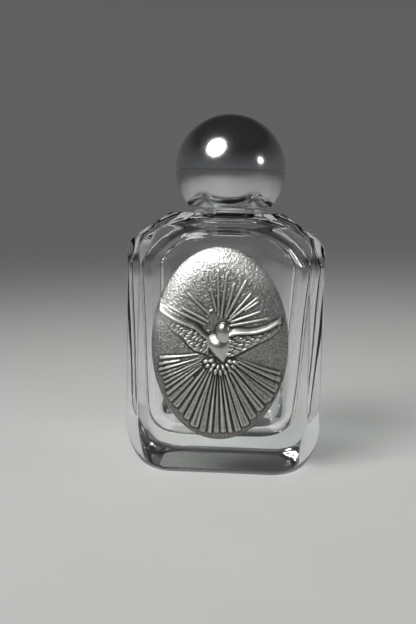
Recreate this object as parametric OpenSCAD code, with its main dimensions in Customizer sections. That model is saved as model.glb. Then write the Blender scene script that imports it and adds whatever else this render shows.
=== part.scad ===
// Small glass holy water bottle with a chromed ball screw cap and an oval dove medal.
// Millimetres, +Z up, front faces -Y, origin at the centre of the flat foot.

/* [Glass body] */
// Width across the flat sides
body_w = 34.5; // [32:0.5:40]
// Depth from front to back
body_d = 24; // [21:0.5:28]
// Height from the foot to the flat top
body_h = 46.3; // [42:0.1:56]
// Sideways run of each slanted shoulder
shoulder_run = 7.4; // [5:0.2:8]
// Fall of each slanted shoulder
shoulder_drop = 5.2; // [4.2:0.2:8]
// Rounding above and below each shoulder's lower corner
shoulder_soft = 1.5; // [0.6:0.1:1.8]
// Sideways run of each rounded foot corner
heel_run = 5.8; // [4:0.2:7]
// Rise of each rounded foot corner
heel_rise = 9; // [6:0.5:11]
// Bevel along the front, back and corner edges
edge_bevel = 2.4; // [1.6:0.1:3]
// Corner cut at the foot, where the bevel has run out
foot_cut = 1; // [0.6:0.1:1.4]
// Rounding of the foot's front and back edges
foot_round = 1.8; // [1.2:0.1:2.6]

/* [Glass walls] */
// Thickness of the heavy foot
foot_t = 6; // [4:0.5:8]
// Side wall, low down
side_wall = 3.9; // [2.6:0.1:4.6]
// Side wall, just under the shoulders
side_wall_high = 1.9; // [1.6:0.1:3]
// Front and back wall
face_wall = 2.6; // [2:0.1:3.6]
// Glass over the cavity, at the neck
top_wall = 2; // [1.8:0.1:4]
// Drop from the glass's shoulders to where the cavity starts to close
shoulder_wall = 4.6; // [3.6:0.1:5.6]
// Width of the cavity's flat top
cavity_top_w = 11; // [8:0.5:12]
// Radius where the cavity's front and back turn into its top
cavity_top_round = 3; // [2:0.5:4]
// Radius where the cavity's walls turn into its floor
cavity_round = 5; // [3:0.5:7]

/* [Neck] */
// Radius of the neck under its thread
neck_r = 4.9; // [4.6:0.1:5.4]
// Radius of the neck's bore
bore_r = 3.1; // [2.8:0.1:3.4]
// Radius of the collar at the neck's root
collar_r = 6.9; // [6.4:0.1:7.4]
// Height of the collar above the flat top
collar_h = 0.45; // [0.3:0.05:1.2]
// Bevel around the neck's rim
rim_bevel = 0.4; // [0.2:0.1:0.6]

/* [Thread] */
// Climb of the thread in one turn
thread_pitch = 2.1; // [1.9:0.1:2.4]
// Height of the thread's ridge
thread_h = 0.6; // [0.5:0.05:0.7]
// Width of the ridge at its root
thread_root = 1; // [0.8:0.05:1.1]
// Width of the ridge at its crest
thread_crest = 0.4; // [0.3:0.05:0.5]
// Radial play between the two threads
thread_gap = 0.15; // [0.12:0.01:0.2]
// Play along the axis where the threads bear on each other
thread_bearing = 0.12; // [0.08:0.01:0.2]
// Plain neck below and above the thread
thread_land = 1; // [0.8:0.1:1.4]

/* [Ball cap] */
// Radius of the chromed ball
ball_r = 10; // [9.6:0.1:12]
// Wall of the ball's two halves
ball_wall = 1.2; // [1:0.1:1.4]
// Width of the flat rim around the ball's mouth
mouth_rim = 0.95; // [0.8:0.05:1.2]
// Gap between the ball's mouth and the collar
mouth_gap = 0.3; // [0.2:0.05:0.8]
// Wall of the sleeve that holds the insert
sleeve_t = 0.8; // [0.6:0.1:1]
// Depth of the dome's lip inside the skirt
lip_h = 1.2; // [0.8:0.1:1.6]
// Wall of the dome's lip
lip_t = 0.6; // [0.5:0.1:0.8]
// Width of the fine groove at the seam
seam_w = 0.16; // [0.1:0.02:0.3]
// Radius of the dome's ring that holds the insert down
hold_ring_r = 5; // [4:0.5:5.5]
// Wall of that ring
hold_ring_t = 1; // [0.8:0.1:1.4]

/* [Insert and liner] */
// Wall of the threaded insert
insert_wall = 0.85; // [0.7:0.05:1]
// Top plate of the insert
insert_top = 0.9; // [0.7:0.1:1.2]
// Depth of the insert's flange
insert_flange = 1.5; // [1.1:0.1:2]
// How far the insert sits up inside the ball's mouth
insert_recess = 0.3; // [0.2:0.1:0.6]
// Room between the insert's flange and the dome
flange_room = 0.5; // [0.3:0.1:0.8]
// Thickness of the sealing liner
liner_t = 1; // [0.8:0.1:1.3]
// Play around the liner
liner_gap = 0.15; // [0.1:0.05:0.2]

/* [Orifice reducer] */
// Radius of the reducer's flange on the rim
reducer_flange_r = 3.9; // [3.6:0.1:4.2]
// Thickness of the reducer's flange
reducer_flange_t = 0.6; // [0.5:0.1:0.8]
// Length of the plug in the bore
reducer_len = 4.5; // [3.5:0.5:5]
// Wall of the plug
reducer_wall = 0.7; // [0.5:0.1:0.9]
// Radius of the hole that the drops leave by
orifice_r = 1.3; // [0.8:0.1:1.5]
// Fitting gap of pressed-in pieces
press_gap = 0.02; // [0.01:0.01:0.04]

/* [Medal] */
// Width of the oval medal
medal_w = 23.8; // [20:0.1:25]
// Height of the oval medal
medal_h = 33.8; // [28:0.1:35]
// Height of the medal's centre above the middle of the glass
medal_lift = 0.5; // [-1:0.1:1.5]
// How far the medal sits to the right of the middle
medal_shift = -0.55; // [-1:0.05:1]
// Thickness of the medal at its edge
medal_edge = 1; // [0.8:0.1:1.4]
// Rounding of the medal's edge
medal_round = 0.6; // [0.4:0.1:0.8]
// Swell of the medal's face at its centre
medal_crown = 1.1; // [0.4:0.1:1.4]
// Thickness of the glue film
glue_t = 0.25; // [0.15:0.05:0.4]
// How far the glue stays in from the medal's edge
glue_inset = 0.8; // [0.5:0.1:1.5]

/* [Dove and rays] */
// Length of the dove from its head to its tail
dove_len = 9.6; // [8:0.2:11]
// Height of the dove's relief above the medal's face
dove_relief = 1.1; // [0.6:0.1:1.3]
// Height of the wing tips above the medal's centre
wing_rise = 5; // [3:0.5:6]
// Gap between a wing tip and the medal's outline
wing_margin = 0.7; // [0.6:0.1:2]
// Height of the rays' relief
ray_relief = 0.35; // [0.2:0.05:0.5]
// Height above the medal's centre that the upper rays spring from
upper_rays_z = 3.1; // [2:0.1:4]
// Depth below the medal's centre that the lower rays spring from
lower_rays_z = 1.4; // [0.5:0.1:2.5]
// Rays above the wings
upper_rays = 13; // [7:1:17]
// Rays below the wings
lower_rays = 23; // [15:1:29]

/* [Hidden] */
$fn = 96;

// Sections around a turn of thread, around the cavity and around the medal
thread_steps = 32;
cavity_sides = 32;
medal_sides = 48;
// Share of a turn in which a thread's end fades out
thread_fade = 1 / 6;
// Overlap of shapes that are joined into one solid
bite = 0.15;
// Run of a cut past the face that it opens
cut_over = 1;

// Thread radii, from the neck outwards
crest_r = neck_r + thread_h;
insert_bore = crest_r + thread_gap;
insert_r = insert_bore + insert_wall;
sleeve_bore = insert_r + press_gap;
sleeve_r = sleeve_bore + sleeve_t;

// The ball stands on its mouth, which is just wide enough for the insert
ball_inner = ball_r - ball_wall;
mouth_r = sleeve_bore + mouth_rim;
ball_cut = sqrt(ball_r * ball_r - mouth_r * mouth_r);
mouth_z = body_h + collar_h + mouth_gap;
ball_z = mouth_z + ball_cut;
lip_r = sqrt(ball_inner * ball_inner - lip_h * lip_h) - press_gap;

// Heights above the ball's centre: the insert fits under the dome, and the rest hangs from it
insert_roof = sqrt(ball_inner * ball_inner - pow(sleeve_r + flange_room, 2));
insert_ceiling = insert_roof - insert_top;
sleeve_top = insert_roof - insert_flange;
liner_bottom = insert_ceiling - liner_t;
rim_rise = liner_bottom - reducer_flange_t;

// Neck and thread
rim_z = ball_z + rim_rise;
thread_z0 = body_h + collar_h + thread_land + thread_root / 2;
thread_z1 = rim_z - thread_land - thread_root / 2;
thread_turns = (thread_z1 - thread_z0) / thread_pitch;
// Half widths of the two ridges add up to this where they pass each other
thread_pass = max(pass_width(insert_bore - thread_h), pass_width(crest_r));
thread_drop = thread_pass + thread_bearing;
plug_r = bore_r - press_gap;

// Medal, measured outwards from the glass
medal_back = body_d / 2 + glue_t;
medal_a = medal_w / 2;
medal_b = medal_h / 2;
medal_z = body_h / 2 + medal_lift;
wing_reach = medal_a * sqrt(1 - pow(wing_rise / medal_b, 2)) - wing_margin;

// Half the width of the neck's ridge and of the insert's ridge, added up at radius r
function ridge_half(depth) = (thread_root - (thread_root - thread_crest) * depth / thread_h) / 2;
function pass_width(r) = ridge_half(r - neck_r) + ridge_half(insert_bore - r);

// How far a rounded foot edge has drawn in at height z
function heel_in(z, run, rise) = z >= rise ? 0 : run * (1 - sqrt(1 - pow(1 - z / rise, 2)));

// Ramp that starts at u = 0, rounded over soft on both sides of its start
function soft_ramp(u, soft) = u <= -soft ? 0 : u >= soft ? u : pow(u + soft, 2) / (4 * soft);

// Half width and half depth of the glass at height z
shoulder_z = body_h - shoulder_drop;
function body_half_w(z) =
    body_w / 2 - heel_in(z, heel_run, heel_rise)
    - shoulder_run / shoulder_drop * soft_ramp(z - shoulder_z, shoulder_soft);
function body_half_d(z) =
    body_d / 2 - heel_in(z, foot_round, foot_round) - max(0, z - body_h + edge_bevel);

// Eight-sided section of the glass at height z, its corners cut by the bevel, less so in the foot
function body_ring(z) =
    let (w = body_half_w(z), d = body_half_d(z),
         c = edge_bevel - heel_in(z, edge_bevel - foot_cut, heel_rise))
    [[w - c, -d, z], [w, c - d, z], [w, d - c, z], [w - c, d, z],
     [c - w, d, z], [-w, d - c, z], [-w, c - d, z], [c - w, -d, z]];

// Levels of the glass: the rounded foot, then the shoulders and the top bevel
body_levels = concat(
    [for (t = [0 : 15 : 90]) heel_rise * (1 - cos(t))],
    [for (step = [-1 : 0.5 : 1]) shoulder_z + step * shoulder_soft],
    [foot_round, body_h - edge_bevel, body_h]);
function sorted(v) = len(v) < 2 ? v :
    let (m = v[0], rest = [for (i = [1 : len(v) - 1]) v[i]])
    concat(sorted([for (x = rest) if (x < m) x]), [m], sorted([for (x = rest) if (x > m) x]));

// Half width and half depth of the cavity at height z: a rounded floor, and an arch that closes its sides
cavity_top = body_h - top_wall;
cavity_shoulder = shoulder_z - shoulder_wall;
cavity_power = 1.6;
function cavity_close(z) =
    let (u = max(0, z - cavity_shoulder) / (cavity_top - cavity_shoulder))
    pow(max(0, 1 - pow(u, cavity_power)), 1 / cavity_power);
function cavity_half_w(z) =
    let (up = min(1, (z - foot_t) / (cavity_shoulder - foot_t)),
         wall = body_w / 2 - side_wall + (side_wall - side_wall_high) * up,
         top = cavity_top_w / 2)
    top + (wall - top) * cavity_close(z) - heel_in(z - foot_t, cavity_round, cavity_round);
function cavity_half_d(z) =
    body_d / 2 - face_wall - heel_in(z - foot_t, cavity_round, cavity_round)
    - heel_in(cavity_top - z, cavity_top_round, cavity_top_round);

// Rounded section of the cavity at height z
cavity_square = 4;
function soft_cos(t) = sign(cos(t)) * pow(abs(cos(t)), 2 / cavity_square);
function soft_sin(t) = sign(sin(t)) * pow(abs(sin(t)), 2 / cavity_square);
function cavity_ring(z) =
    let (w = cavity_half_w(z), d = cavity_half_d(z))
    [for (i = [0 : cavity_sides - 1])
        let (t = 360 * (i + 0.5) / cavity_sides)
        [w * soft_cos(t), d * soft_sin(t), z]];
cavity_levels = concat(
    [for (t = [0 : 22.5 : 90]) foot_t + cavity_round * (1 - cos(t))],
    [for (t = [0 : 15 : 90]) cavity_shoulder + (cavity_top - cavity_shoulder) * sin(t)]);

// Closed solid through a list of rings that all have as many points
module loft(rings) {
    n = len(rings[0]);
    last = (len(rings) - 1) * n;
    sides = [for (k = [0 : len(rings) - 2], i = [0 : n - 1], half = [0, 1])
        let (a = k * n + i, b = k * n + (i + 1) % n, c = b + n, d = a + n)
        half == 0 ? [a, d, c] : [a, c, b]];
    ends = [[for (i = [0 : n - 1]) i], [for (i = [n - 1 : -1 : 0]) last + i]];
    polyhedron([for (ring = rings, p = ring) p], concat(sides, ends));
}

// Spiral ridge on radius r, standing out by thread_h, or in where side is -1, with ends that fade out
module thread_ridge(r, side, z0, turns) {
    steps = ceil(turns * thread_steps);
    fade = thread_steps * thread_fade;
    loft([for (k = [0 : steps])
        let (t = turns * 360 * k / steps,
             grow = min(1, k / fade, (steps - k) / fade),
             foot = r - side * bite,
             top = r + side * (grow * (thread_h + bite / 2) - bite / 2),
             z = z0 + thread_pitch * t / 360,
             wide = thread_root / 2,
             slim = thread_crest / 2,
             inner = side > 0 ? [foot, wide] : [top, slim],
             outer = side > 0 ? [top, slim] : [foot, wide])
        [for (p = [[inner[0], -inner[1]], inner, outer, [outer[0], -outer[1]]])
            [p[0] * cos(t), p[0] * sin(t), z + p[1]]]]);
}

// Glass flask: body, collar and threaded neck, with the cavity and the bore
module bottle_body() {
    color([0.86, 0.9, 0.9, 0.45])
    difference() {
        union() {
            loft([for (z = sorted(body_levels)) body_ring(z)]);
            translate([0, 0, body_h - bite])
                cylinder(h = bite + collar_h, r = collar_r);
            translate([0, 0, body_h - bite])
                cylinder(h = rim_z - rim_bevel - body_h + bite, r = neck_r);
            translate([0, 0, rim_z - rim_bevel])
                cylinder(h = rim_bevel, r1 = neck_r, r2 = neck_r - rim_bevel);
            thread_ridge(neck_r, 1, thread_z0, thread_turns);
        }
        loft([for (z = sorted(cavity_levels)) cavity_ring(z)]);
        translate([0, 0, cavity_shoulder])
            cylinder(h = rim_z - cavity_shoulder + cut_over, r = bore_r);
    }
}

// Soft plug in the neck with a flange on the rim and a small hole
module orifice_reducer() {
    color([0.93, 0.93, 0.9, 0.8])
    translate([0, 0, rim_z])
    difference() {
        union() {
            cylinder(h = reducer_flange_t, r = reducer_flange_r);
            translate([0, 0, -reducer_len])
                cylinder(h = reducer_len + bite, r = plug_r);
        }
        translate([0, 0, -reducer_len - cut_over])
            cylinder(h = reducer_len + cut_over - reducer_wall, r = plug_r - reducer_wall);
        translate([0, 0, -reducer_len])
            cylinder(h = reducer_len + reducer_flange_t + cut_over, r = orifice_r);
    }
}

// Foam disc that seals on the reducer's flange
module cap_liner() {
    color("gainsboro")
    translate([0, 0, ball_z + liner_bottom])
        cylinder(h = liner_t, r = insert_bore - liner_gap);
}

// Threaded inner cap with a flange on the sleeve
module cap_insert() {
    color("white")
    difference() {
        union() {
            translate([0, 0, ball_z - ball_cut + insert_recess])
                cylinder(h = ball_cut - insert_recess + insert_roof, r = insert_r);
            translate([0, 0, ball_z + sleeve_top])
                cylinder(h = insert_flange, r = sleeve_r);
        }
        difference() {
            translate([0, 0, mouth_z])
                cylinder(h = ball_cut + insert_ceiling, r = insert_bore);
            thread_ridge(insert_bore, -1, thread_z0 - thread_drop, thread_turns);
        }
    }
}

// Half of the ball's section, above its centre or below it
module ball_wall_section(upper) {
    difference() {
        intersection() {
            circle(r = ball_r);
            translate([0, upper ? 0 : -ball_cut])
                square([ball_r, upper ? ball_r : ball_cut]);
        }
        circle(r = ball_inner);
        translate([ball_r, 0])
            rotate(45)
                square(seam_w, center = true);
    }
}

// Lower half of the ball, with the sleeve for the insert
module cap_skirt() {
    color([0.75, 0.76, 0.78])
    translate([0, 0, ball_z])
    rotate_extrude()
    difference() {
        union() {
            ball_wall_section(false);
            translate([sleeve_bore, -ball_cut])
                square([sleeve_t, ball_cut + sleeve_top]);
        }
        translate([0, -ball_r])
            square([sleeve_bore, 2 * ball_r]);
    }
}

// Upper half of the ball, with the lip at the seam and the ring that holds the insert down
module cap_dome() {
    color([0.78, 0.79, 0.81])
    translate([0, 0, ball_z])
    rotate_extrude()
    union() {
        ball_wall_section(true);
        translate([lip_r - lip_t, 0])
            square([ball_inner - lip_r + lip_t + bite, lip_h]);
        translate([lip_r - lip_t, -lip_h])
            square([lip_t, lip_h + bite]);
        intersection() {
            circle(r = ball_r - ball_wall / 2);
            translate([hold_ring_r - hold_ring_t, insert_roof])
                square([hold_ring_t, ball_r]);
        }
    }
}

// Oval at distance y in front of the bottle's middle, drawn in by inset and then shrunk to a share
function oval(inset, y, share = 1) =
    [for (i = [0 : medal_sides - 1])
        let (t = 360 * i / medal_sides)
        [share * (medal_a - inset) * cos(t), -y, medal_z + share * (medal_b - inset) * sin(t)]];

// Distance of the medal's swelling face in front of the bottle's middle at x, z
function face_y(x, z) =
    let (q = pow(x / (medal_a - medal_round), 2) + pow((z - medal_z) / (medal_b - medal_round), 2))
    medal_back + medal_edge + medal_crown * max(0, 1 - q);

// Thin glue film behind the medal
module medal_adhesive() {
    color("beige")
    translate([medal_shift, 0, 0])
        loft([oval(glue_inset, body_d / 2), oval(glue_inset, medal_back)]);
}

// Plain oval of the medal with a rounded edge and a swelling face
module medal_plate() {
    loft(concat(
        [oval(0, medal_back)],
        [for (t = [0 : 30 : 60])
            oval(medal_round * (1 - cos(t)), medal_back + medal_edge - medal_round * (1 - sin(t)))],
        [for (share = [1 : -0.25 : 0.25])
            oval(medal_round, medal_back + medal_edge + medal_crown * (1 - share * share), share)]));
}

// Distance from a point rise above the medal's centre to its outline in direction t, drawn in by inset
function rim_reach(t, rise, inset) =
    let (a = medal_a - inset, b = medal_b - inset, c = cos(t), s = sin(t),
         qa = c * c / (a * a) + s * s / (b * b),
         qb = s * rise / (b * b),
         qc = rise * rise / (b * b) - 1)
    (sqrt(qb * qb - qa * qc) - qb) / qa;

// One ray: a ridge on the face from distance r0 to r1 in direction t, as wide as w0 and then w1
module ray(t, rise, r0, r1, w0, w1) {
    loft([for (end = [[r0, w0], [r1, w1]])
        let (x = end[0] * cos(t), z = medal_z + rise + end[0] * sin(t), y = face_y(x, z), h = end[1] / 2)
        [[x - h * sin(t), bite - y, z + h * cos(t)],
         [x, -y - ray_relief, z],
         [x + h * sin(t), bite - y, z - h * cos(t)]]]);
}

// Fans of rays: short and long ones over the wings, and full ones from the tail to the rim
upper_fan = [10, 157];
lower_fan = [187, 341];
upper_start = 0.21 * dove_len;
lower_start = 0.35 * dove_len;
upper_share = [0.66, 0.8];
ray_inset = 1.3;
ray_wide = 1.1;
ray_slim = 0.4;
module rays() {
    for (i = [0 : upper_rays - 1]) {
        t = upper_fan[0] + (upper_fan[1] - upper_fan[0]) * i / (upper_rays - 1);
        r = rim_reach(t, upper_rays_z, ray_inset) * upper_share[i % 2];
        ray(t, upper_rays_z, upper_start, r, ray_slim, ray_slim);
    }
    for (i = [0 : lower_rays - 1]) {
        t = lower_fan[0] + (lower_fan[1] - lower_fan[0]) * i / (lower_rays - 1);
        r = rim_reach(t, -lower_rays_z, ray_inset);
        ray(t, -lower_rays_z, lower_start, r, ray_slim, ray_wide);
    }
}

// Swelling form up the medal's middle, through sections of height and half width as shares of the
// dove's length, and height as a share of its relief
dove_sides = 12;
module dove_form(sections) {
    loft([for (s = sections)
        let (z = medal_z + s[0] * dove_len, y = face_y(0, z))
        [for (i = [0 : dove_sides - 1])
            let (t = 360 * i / dove_sides)
            [s[1] * dove_len * cos(t), s[2] * dove_relief * sin(t) - y, z]]]);
}

// Breast and head of the diving dove, and its spread tail below
dove_sections = [[-0.33, 0.05, 0.4], [-0.25, 0.14, 0.8], [-0.06, 0.18, 1], [0.12, 0.16, 1],
    [0.21, 0.11, 0.9], [0.31, 0.13, 1], [0.44, 0.06, 0.5]];
tail_sections = [[-0.56, 0.15, 0.3], [-0.48, 0.3, 0.45], [-0.38, 0.32, 0.5], [-0.27, 0.13, 0.4]];

// One wing, from its broad root beside the breast to its raised tip
wing_root_x = 0.1 * dove_len;
wing_root = [-0.21 * dove_len, 0.2 * dove_len];
wing_tip_chord = 0.08 * dove_len;
wing_thin = 0.6;
wing_trail = 0.4;
module wing() {
    loft([for (s = [0 : 0.25 : 1])
        let (x = wing_root_x + (wing_reach - wing_root_x) * s,
             top = medal_z + wing_root[1] + (wing_rise - wing_root[1]) * s * s,
             low = medal_z + wing_root[0] + (wing_rise - wing_tip_chord - wing_root[0]) * s,
             y = face_y(x, (top + low) / 2),
             h = dove_relief * (1 - wing_thin * s))
        [[x, bite - y, low], [x, bite - y, top],
         [x, -y - h, top - (top - low) / 4], [x, -y - wing_trail * h, low]]]);
}

// Cast oval medal with the dove and its rays in relief
module medal() {
    color([0.6, 0.6, 0.58])
    translate([medal_shift, 0, 0])
    union() {
        medal_plate();
        rays();
        dove_form(dove_sections);
        dove_form(tail_sections);
        wing();
        mirror([1, 0, 0])
            wing();
    }
}

bottle_body();
orifice_reducer();
cap_liner();
cap_insert();
cap_skirt();
cap_dome();
medal_adhesive();
medal();
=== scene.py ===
import math

import bmesh
import bpy
import numpy as np
from mathutils import Matrix, Vector


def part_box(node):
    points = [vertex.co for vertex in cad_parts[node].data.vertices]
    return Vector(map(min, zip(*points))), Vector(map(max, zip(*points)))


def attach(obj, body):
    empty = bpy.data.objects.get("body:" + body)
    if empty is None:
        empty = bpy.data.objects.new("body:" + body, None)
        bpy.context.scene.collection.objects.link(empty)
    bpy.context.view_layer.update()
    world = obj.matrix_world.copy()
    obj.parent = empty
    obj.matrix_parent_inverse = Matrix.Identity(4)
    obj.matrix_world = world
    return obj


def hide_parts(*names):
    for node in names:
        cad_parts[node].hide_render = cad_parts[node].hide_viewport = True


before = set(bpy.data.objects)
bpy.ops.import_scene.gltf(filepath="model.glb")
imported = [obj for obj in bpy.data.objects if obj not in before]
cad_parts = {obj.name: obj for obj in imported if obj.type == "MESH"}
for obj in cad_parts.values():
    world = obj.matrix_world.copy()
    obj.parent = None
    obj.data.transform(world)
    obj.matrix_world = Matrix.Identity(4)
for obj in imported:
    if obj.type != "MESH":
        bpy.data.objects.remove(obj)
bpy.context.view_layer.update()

# Shapes are worked out in millimetres, and MM brings a finished mesh to the frame's metres.
MM = 0.001
FULL_TURN = 2 * math.pi
WELD = 1e-8
FIT_PLAY = 0.02
SMALL_STEPS = 96


def node_box(node):
    """Lowest and highest corner of a CAD node, in millimetres."""
    low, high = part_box(node)
    return [c / MM for c in low], [c / MM for c in high]


glass_high = node_box("bottle_body")[1]
skirt_low, skirt_high = node_box("cap_skirt")
dome_low, dome_high = node_box("cap_dome")
insert_low, insert_high = node_box("cap_insert")
liner_low, liner_high = node_box("cap_liner")
reducer_low, reducer_high = node_box("orifice_reducer")
medal_low, medal_high = node_box("medal")
glue_low, glue_high = node_box("medal_adhesive")

# Glass flask
BODY_HALF_W = glass_high[0]
BODY_HALF_D = glass_high[1]
BODY_H = 46.3
SHOULDER_RUN = 7.4
SHOULDER_DROP = 5.2
SHOULDER_ROUND = 3.4
SHOULDER_TOP_ROUND = 1.3
HEEL_RUN = 5.8
HEEL_RISE = 9.0
EDGE_BEVEL = 2.4
EDGE_SOFT = 0.7
TOP_SOFT = 0.8
FOOT_CUT = 2.2
FOOT_SOFT = 3.5
FOOT_SOFTENING = 1.5
FOOT_ROUND = 1.8
FOOT_INNER = 0.7
FOOT_T = 6.0
SIDE_WALL_LOW = 3.9
SIDE_WALL_HIGH = 1.9
FACE_WALL = 2.6
TOP_WALL = 2.0
SHOULDER_WALL = 4.6
CAVITY_TOP_W = 11.0
CAVITY_TOP_ROUND = 3.0
CAVITY_ROUND = 5.0
CAVITY_SQUARE = 4.0
CAVITY_SQUARE_RUN = 4.0
CIRCLE = 2
CAVITY_CLOSING = 1.6
CAVITY_SHIFT = -0.5
CAVITY_SWAY = 0.006
CAVITY_FLOOR_INNER = 0.6
NECK_R = 4.9
BORE_R = 3.1
BORE_FLARE = 0.25
BORE_FLARE_H = 0.12
BORE_END_H = 0.6
COLLAR_R = 6.9
COLLAR_H = 0.45
COLLAR_LEAD = 1.1
RIM_Z = glass_high[2]

# The flask's mesh: a quarter of a ring runs along half a side, round two soft turns and along half a front
SIDE_STEPS = 7
TURN_POINTS = 9
FRONT_STEPS = 8
GLASS_STEPS = 4 * (SIDE_STEPS + 2 * TURN_POINTS + FRONT_STEPS - 1)
HEEL_ROWS = 19
FOOT_ROWS = 11
CAVITY_SHOULDER_START = 86
CAVITY_SHOULDER_ROWS = 21
CAVITY_WALL_ROWS = 11
CAVITY_FLOOR_ROWS = 15

# Thread
THREAD_PITCH = 2.1
THREAD_H = 0.6
THREAD_ROOT = 1.0
THREAD_CREST = 0.4
THREAD_LAND = 1.0
THREAD_PLAY = 0.15
THREAD_DROP = 0.97
THREAD_FADE = 1 / 6
THREAD_ROW = 0.14
THREAD_Z0 = BODY_H + COLLAR_H + THREAD_LAND + THREAD_ROOT / 2
THREAD_TURNS = (RIM_Z - THREAD_LAND - THREAD_ROOT / 2 - THREAD_Z0) / THREAD_PITCH

# Ball cap
BALL_R = (dome_high[0] - dome_low[0]) / 2
BALL_Z = dome_high[2] - BALL_R
BALL_WALL = 1.2
BALL_INNER = BALL_R - BALL_WALL
MOUTH_Z = skirt_low[2] - BALL_Z
MOUTH_R = math.sqrt(BALL_R ** 2 - MOUTH_Z ** 2)
SLEEVE_TOP = skirt_high[2] - BALL_Z
SLEEVE_T = 0.8
INSERT_ROOF = insert_high[2] - BALL_Z
INSERT_FOOT = insert_low[2] - BALL_Z
SLEEVE_R = (insert_high[0] - insert_low[0]) / 2
SLEEVE_BORE = SLEEVE_R - SLEEVE_T
INSERT_R = SLEEVE_BORE - FIT_PLAY
INSERT_BORE = NECK_R + THREAD_H + THREAD_PLAY
INSERT_TOP = 0.9
INSERT_LEAD = 0.4
INSERT_RUNOUT = 0.5
LIP_H = BALL_Z - dome_low[2]
LIP_T = 0.6
LIP_R = math.sqrt(BALL_INNER ** 2 - LIP_H ** 2) - FIT_PLAY
HOLD_RING_R = 5.0
HOLD_RING_T = 1.0
SEAM_CUT = 0.11
MOUTH_TURN = 3
CAP_STEPS = 128
SKIRT_ROWS = 30
SKIRT_INNER_ROWS = 10
DOME_ROWS = 44
DOME_INNER_ROWS = 14
DOME_CROWN_ROWS = 10

# Medal
MEDAL_X = (medal_low[0] + medal_high[0]) / 2
MEDAL_Z = (medal_low[2] + medal_high[2]) / 2
MEDAL_A = (medal_high[0] - medal_low[0]) / 2
MEDAL_B = (medal_high[2] - medal_low[2]) / 2
MEDAL_BACK = -medal_high[1]
MEDAL_EDGE = 1.0
MEDAL_CROWN = 1.2
PILLOW_WIDE = 6.0
PILLOW_DEEP = 1.0
GRAIN_CELL = 0.27
GRAIN_H = 0.085
GRAIN_SEED = 7
GRAIN_LATTICE = (160, 200)
GRAIN_MARGIN = 1
SAND_FADE = (0.03, 0.12)
SAND_RIM = 0.5
MIDDLE_GUARD = 1e-6
MEDAL_TOP = 2.18
MEDAL_BACK_EDGE = ((0.2, 0), (0.04, 0.06))
MEDAL_RIM_SHARE = 0.16
MEDAL_RIM_TURN = 80
MEDAL_RIM_ROWS = 16
MEDAL_STEPS = 620
MEDAL_ROWS = 138


# Outlines and turned pieces

def arc(radius, start, end, count):
    """Points of a circle about the origin between two angles in degrees."""
    angles = np.radians(np.linspace(start, end, count))
    return [(radius * math.cos(a), radius * math.sin(a), 0) for a in angles]


def rounded(corners, count=5):
    """Outline through corners (across, up, radius), each corner turned with an arc of its radius."""
    points = []
    for i, (x, z, radius) in enumerate(corners):
        here = Vector((x, z))
        if radius == 0:
            points.append(here)
            continue
        back = (Vector(corners[i - 1][:2]) - here).normalized()
        on = (Vector(corners[(i + 1) % len(corners)][:2]) - here).normalized()
        half = back.angle(on) / 2
        centre = here + (back + on).normalized() * radius / math.sin(half)
        first = here + back * radius / math.tan(half) - centre
        last = here + on * radius / math.tan(half) - centre
        for k in range(count + 1):
            share = k / count
            mid = first.lerp(last, share)
            points.append(centre + mid.normalized() * radius)
    return np.array(points)


def turned(outline, steps):
    """Table of rings, row by row, of an outline of radius and height turned about the Z axis."""
    turn = FULL_TURN * np.arange(steps) / steps
    r = outline[:, :1]
    z = np.repeat(outline[:, 1:2], steps, axis=1)
    return np.stack([r * np.cos(turn), r * np.sin(turn), z], axis=-1)


def thread_bulge(z, steps, z0):
    """Height of a right-hand thread's ridge at each height of z and step of a turn."""
    turn = np.arange(steps) / steps
    climbed = (z[:, None] - z0) / THREAD_PITCH - turn
    lap = np.rint(climbed)
    off = np.abs(climbed - lap) * THREAD_PITCH
    place = lap + turn
    fade = np.clip(np.minimum(place, THREAD_TURNS - place) / THREAD_FADE, 0, 1)
    side = np.clip((THREAD_ROOT / 2 - off) / ((THREAD_ROOT - THREAD_CREST) / 2), 0, 1)
    return THREAD_H * side * side * (3 - 2 * side) * fade


def finished(name, bm):
    """Object of a mesh made in millimetres, with its seams closed and its faces turned outwards."""
    bmesh.ops.scale(bm, vec=(MM, MM, MM), verts=bm.verts)
    bmesh.ops.remove_doubles(bm, verts=bm.verts, dist=WELD)
    bmesh.ops.recalc_face_normals(bm, faces=bm.faces)
    mesh = bpy.data.meshes.new(name)
    bm.to_mesh(mesh)
    bm.free()
    mesh.shade_smooth()
    piece = bpy.data.objects.new(name, mesh)
    bpy.context.scene.collection.objects.link(piece)
    return piece


def rolled_piece(name, table):
    """Mesh object through a fine table of rings: a grid is rolled up and each point is set in its place."""
    rows, steps = table.shape[:2]
    bm = bmesh.new()
    bmesh.ops.create_grid(bm, x_segments=steps, y_segments=rows - 1, size=0.5)
    for v in bm.verts:
        step = round((v.co.x + 0.5) * steps) % steps
        row = round((v.co.y + 0.5) * (rows - 1))
        v.co = table[row, step].tolist()
    return finished(name, bm)


def spun_piece(name, table, closed=False):
    """Mesh object through a table of rings: a line of points is spun and each point is set in its place."""
    rows, steps = table.shape[:2]
    bm = bmesh.new()
    line = [bm.verts.new((1, 0, row)) for row in range(rows)]
    edges = [bm.edges.new(pair) for pair in zip(line, line[1:])]
    if closed:
        edges.append(bm.edges.new((line[-1], line[0])))
    bmesh.ops.spin(
        bm, geom=line + edges, cent=(0, 0, 0), axis=(0, 0, 1),
        angle=FULL_TURN, steps=steps, use_merge=True)
    for v in bm.verts:
        step = round(math.atan2(v.co.y, v.co.x) / FULL_TURN * steps) % steps
        v.co = table[round(v.co.z), step].tolist()
    return finished(name, bm)


def dress(piece, material, body, node, crease=None):
    """Gives a piece its finish and puts it on its body in place of its CAD node."""
    piece.data.materials.append(material)
    if crease:
        piece.data.set_sharp_from_angle(angle=math.radians(crease))
    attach(piece, body)
    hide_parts(node)


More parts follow.
